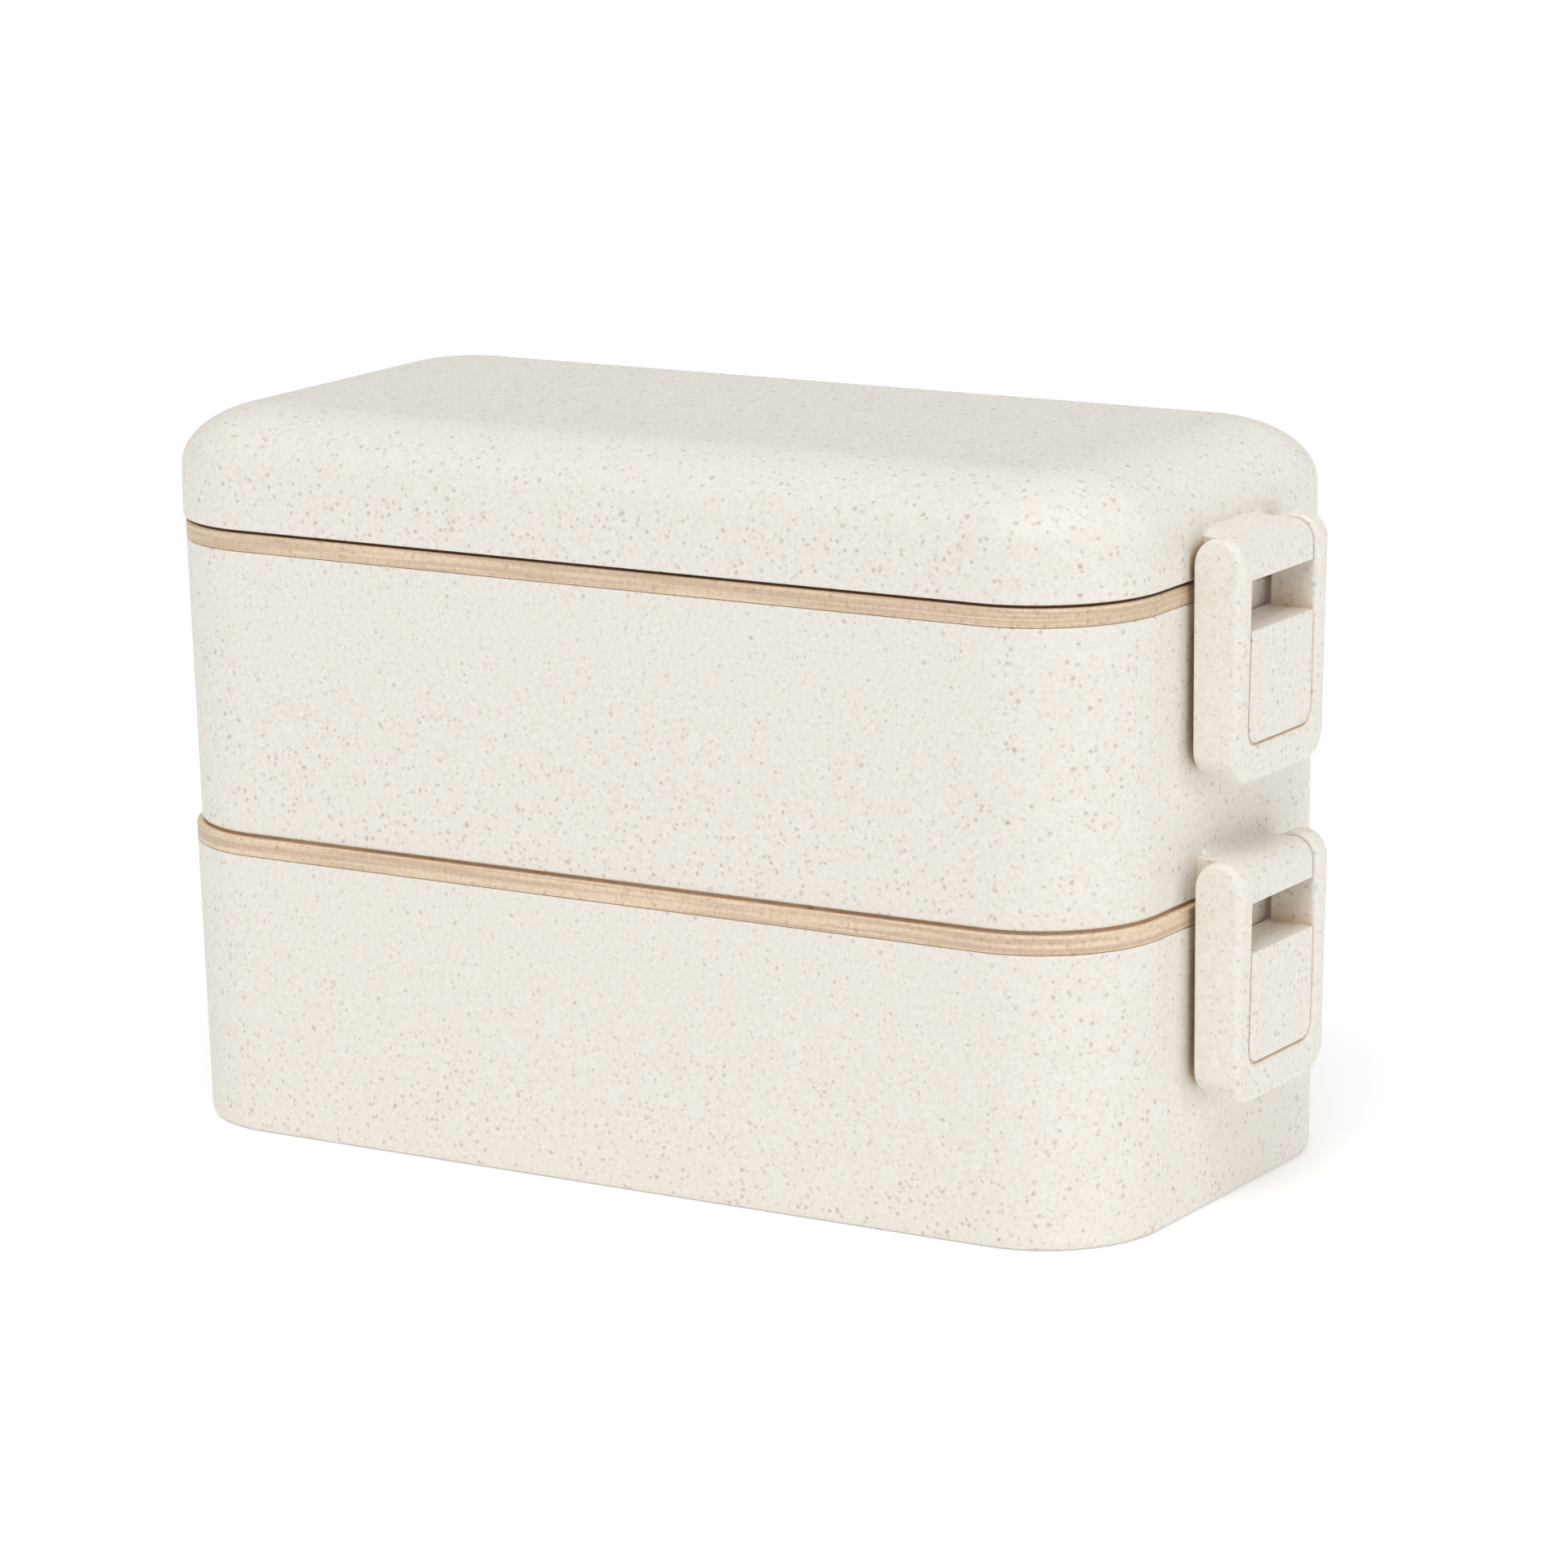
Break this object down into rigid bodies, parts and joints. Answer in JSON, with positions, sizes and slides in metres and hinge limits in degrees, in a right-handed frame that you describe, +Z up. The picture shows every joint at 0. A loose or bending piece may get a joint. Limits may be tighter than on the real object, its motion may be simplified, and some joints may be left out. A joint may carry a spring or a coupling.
{
  "type": "two-tier bento lunch box",
  "caption": "Stacking lunch box: drafted rounded tiers under sealing inner lids and a domed lid, held by hinged flap clasps at both ends.",
  "frame": {"origin": "middle of the base, on the surface that the box stands on", "axes": "+X along the long side towards the right-hand clasps, -Y towards the front long side, +Z up"},
  "size_m": [0.1992, 0.0888, 0.1205],
  "materials": {
    "body_plastic": "warm white wheat-straw plastic, satin, with fine brown, pink and grey flecks",
    "clasp_plastic": "warm white wheat-straw plastic, satin, fine flecks",
    "band_plastic": "tan wheat-straw plastic with fine flecks and faint lengthwise streaks",
    "silicone": "translucent white silicone, satin"
  },
  "bodies": {
    "lower_tier": {"lower_tier": "body_plastic"},
    "lower_tier_divider": {"lower_tier_divider": "band_plastic"},
    "lower_inner_lid": {"lower_inner_lid": "band_plastic", "lower_inner_lid_seal": "silicone"},
    "lower_vent_plug": {"lower_vent_plug": "silicone"},
    "upper_tier": {"upper_tier": "body_plastic"},
    "upper_inner_lid": {"upper_inner_lid": "band_plastic", "upper_inner_lid_seal": "silicone"},
    "upper_vent_plug": {"upper_vent_plug": "silicone"},
    "lid": {"lid": "body_plastic"},
    "upper_right_clasp": {"upper_right_clasp": "clasp_plastic"},
    "upper_left_clasp": {"upper_left_clasp": "clasp_plastic"},
    "lower_right_clasp": {"lower_right_clasp": "clasp_plastic"},
    "lower_left_clasp": {"lower_left_clasp": "clasp_plastic"}
  },
  "joints": [
    {"name": "lower_inner_lid_lift", "type": "slide", "parent": "lower_tier", "child": "lower_inner_lid", "axis": [0, 0, 1], "range_m": [0, 0.05]},
    {"name": "upper_tier_lift", "type": "slide", "parent": "lower_inner_lid", "child": "upper_tier", "axis": [0, 0, 1], "range_m": [0, 0.05]},
    {"name": "upper_inner_lid_lift", "type": "slide", "parent": "upper_tier", "child": "upper_inner_lid", "axis": [0, 0, 1], "range_m": [0, 0.05]},
    {"name": "lid_lift", "type": "slide", "parent": "upper_inner_lid", "child": "lid", "axis": [0, 0, 1], "range_m": [0, 0.05]},
    {"name": "upper_right_clasp_hinge", "type": "hinge", "parent": "lid", "child": "upper_right_clasp", "pos_m": [0.09542, 0, 0.1049], "axis": [0, -1, 0], "range_deg": [0, 170]},
    {"name": "upper_left_clasp_hinge", "type": "hinge", "parent": "lid", "child": "upper_left_clasp", "pos_m": [-0.09542, 0, 0.1049], "axis": [0, 1, 0], "range_deg": [0, 170]},
    {"name": "lower_right_clasp_hinge", "type": "hinge", "parent": "upper_tier", "child": "lower_right_clasp", "pos_m": [0.09542, 0, 0.0539], "axis": [0, -1, 0], "range_deg": [0, 140]},
    {"name": "lower_left_clasp_hinge", "type": "hinge", "parent": "upper_tier", "child": "lower_left_clasp", "pos_m": [-0.09542, 0, 0.0539], "axis": [0, 1, 0], "range_deg": [0, 140]},
    {"name": "divider_slide", "type": "slide", "parent": "lower_tier", "child": "lower_tier_divider", "axis": [1, 0, 0], "range_m": [-0.07, 0.045]},
    {"name": "lower_vent_plug_pull", "type": "slide", "parent": "lower_inner_lid", "child": "lower_vent_plug", "axis": [0, 0, 1], "range_m": [0, 0.0015]},
    {"name": "upper_vent_plug_pull", "type": "slide", "parent": "upper_inner_lid", "child": "upper_vent_plug", "axis": [0, 0, 1], "range_m": [0, 0.0015]}
  ]
}
